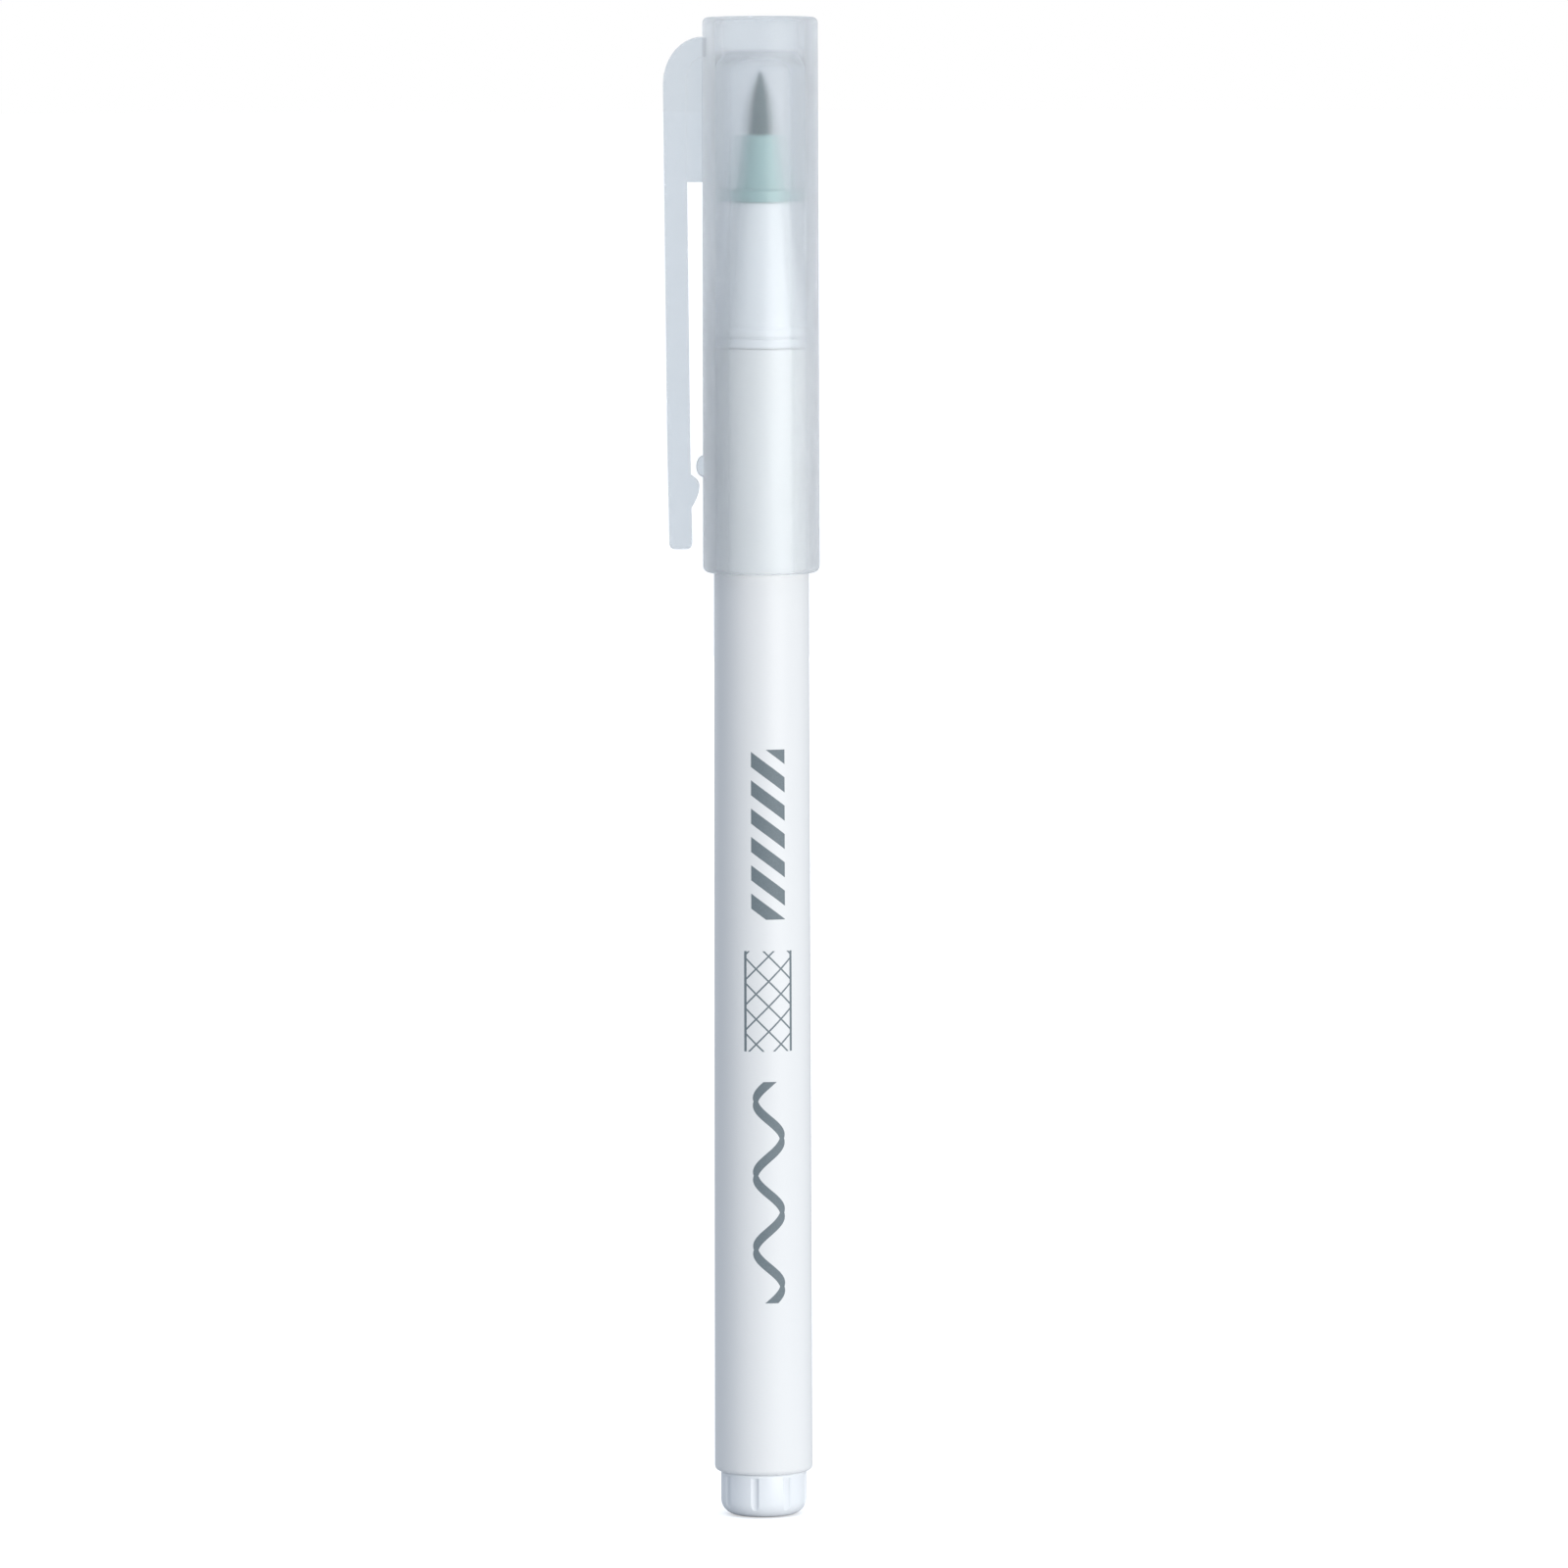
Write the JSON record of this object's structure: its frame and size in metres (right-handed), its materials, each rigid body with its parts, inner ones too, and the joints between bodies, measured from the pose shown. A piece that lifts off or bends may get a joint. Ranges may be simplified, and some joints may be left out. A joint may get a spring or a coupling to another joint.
{
  "type": "calligraphy brush pen",
  "caption": "Capped calligraphy brush pen with a frosted clip cap, white barrel, mint nib holder and flexible brush tip.",
  "frame": {"origin": "centre of the flat rear face of the end plug", "axes": "+Z along the pen from the rear plug to the closed end of the cap, pocket clip towards -X, symmetric about the plane y = 0"},
  "size_m": [0.0147, 0.011, 0.143],
  "materials": {
    "cap_frosted": "frosted translucent",
    "clip_frosted": "frosted translucent",
    "barrel_white": "satin, faint cool tint",
    "plug_white": "satin moulded",
    "nose_white": "satin moulded",
    "holder_mint": "satin moulded",
    "brush_fibre": "fine ink-soaked fibre",
    "wick_fibre": "bonded fibre",
    "reservoir_fibre": "ink-soaked fibre",
    "reservoir_film": "clear film"
  },
  "bodies": {
    "pen": {"barrel": "barrel_white", "end_plug": "plug_white", "reservoir_core": "reservoir_fibre", "reservoir_film": "reservoir_film", "feed_wick": "wick_fibre", "nose_section": "nose_white", "nib_holder": "holder_mint"},
    "cap": {"cap_shell": "cap_frosted"},
    "clip": {"pocket_clip": "clip_frosted"},
    "brush": {"brush_tip": "brush_fibre"}
  },
  "joints": [
    {"name": "cap_pull", "type": "slide", "parent": "pen", "child": "cap", "axis": [0, 0, 1], "range_m": [0, 0.055]},
    {"name": "clip_flex", "type": "hinge", "parent": "cap", "child": "clip", "pos_m": [-0.00804, 0, 0.12725], "axis": [0, 1, 0], "range_deg": [0, 4], "stiffness_Nm_per_rad": 0.4},
    {"name": "brush_flex", "type": "hinge", "parent": "pen", "child": "brush", "pos_m": [0, 0, 0.1319], "axis": [0, 1, 0], "range_deg": [-15, 15], "stiffness_Nm_per_rad": 0.002}
  ]
}
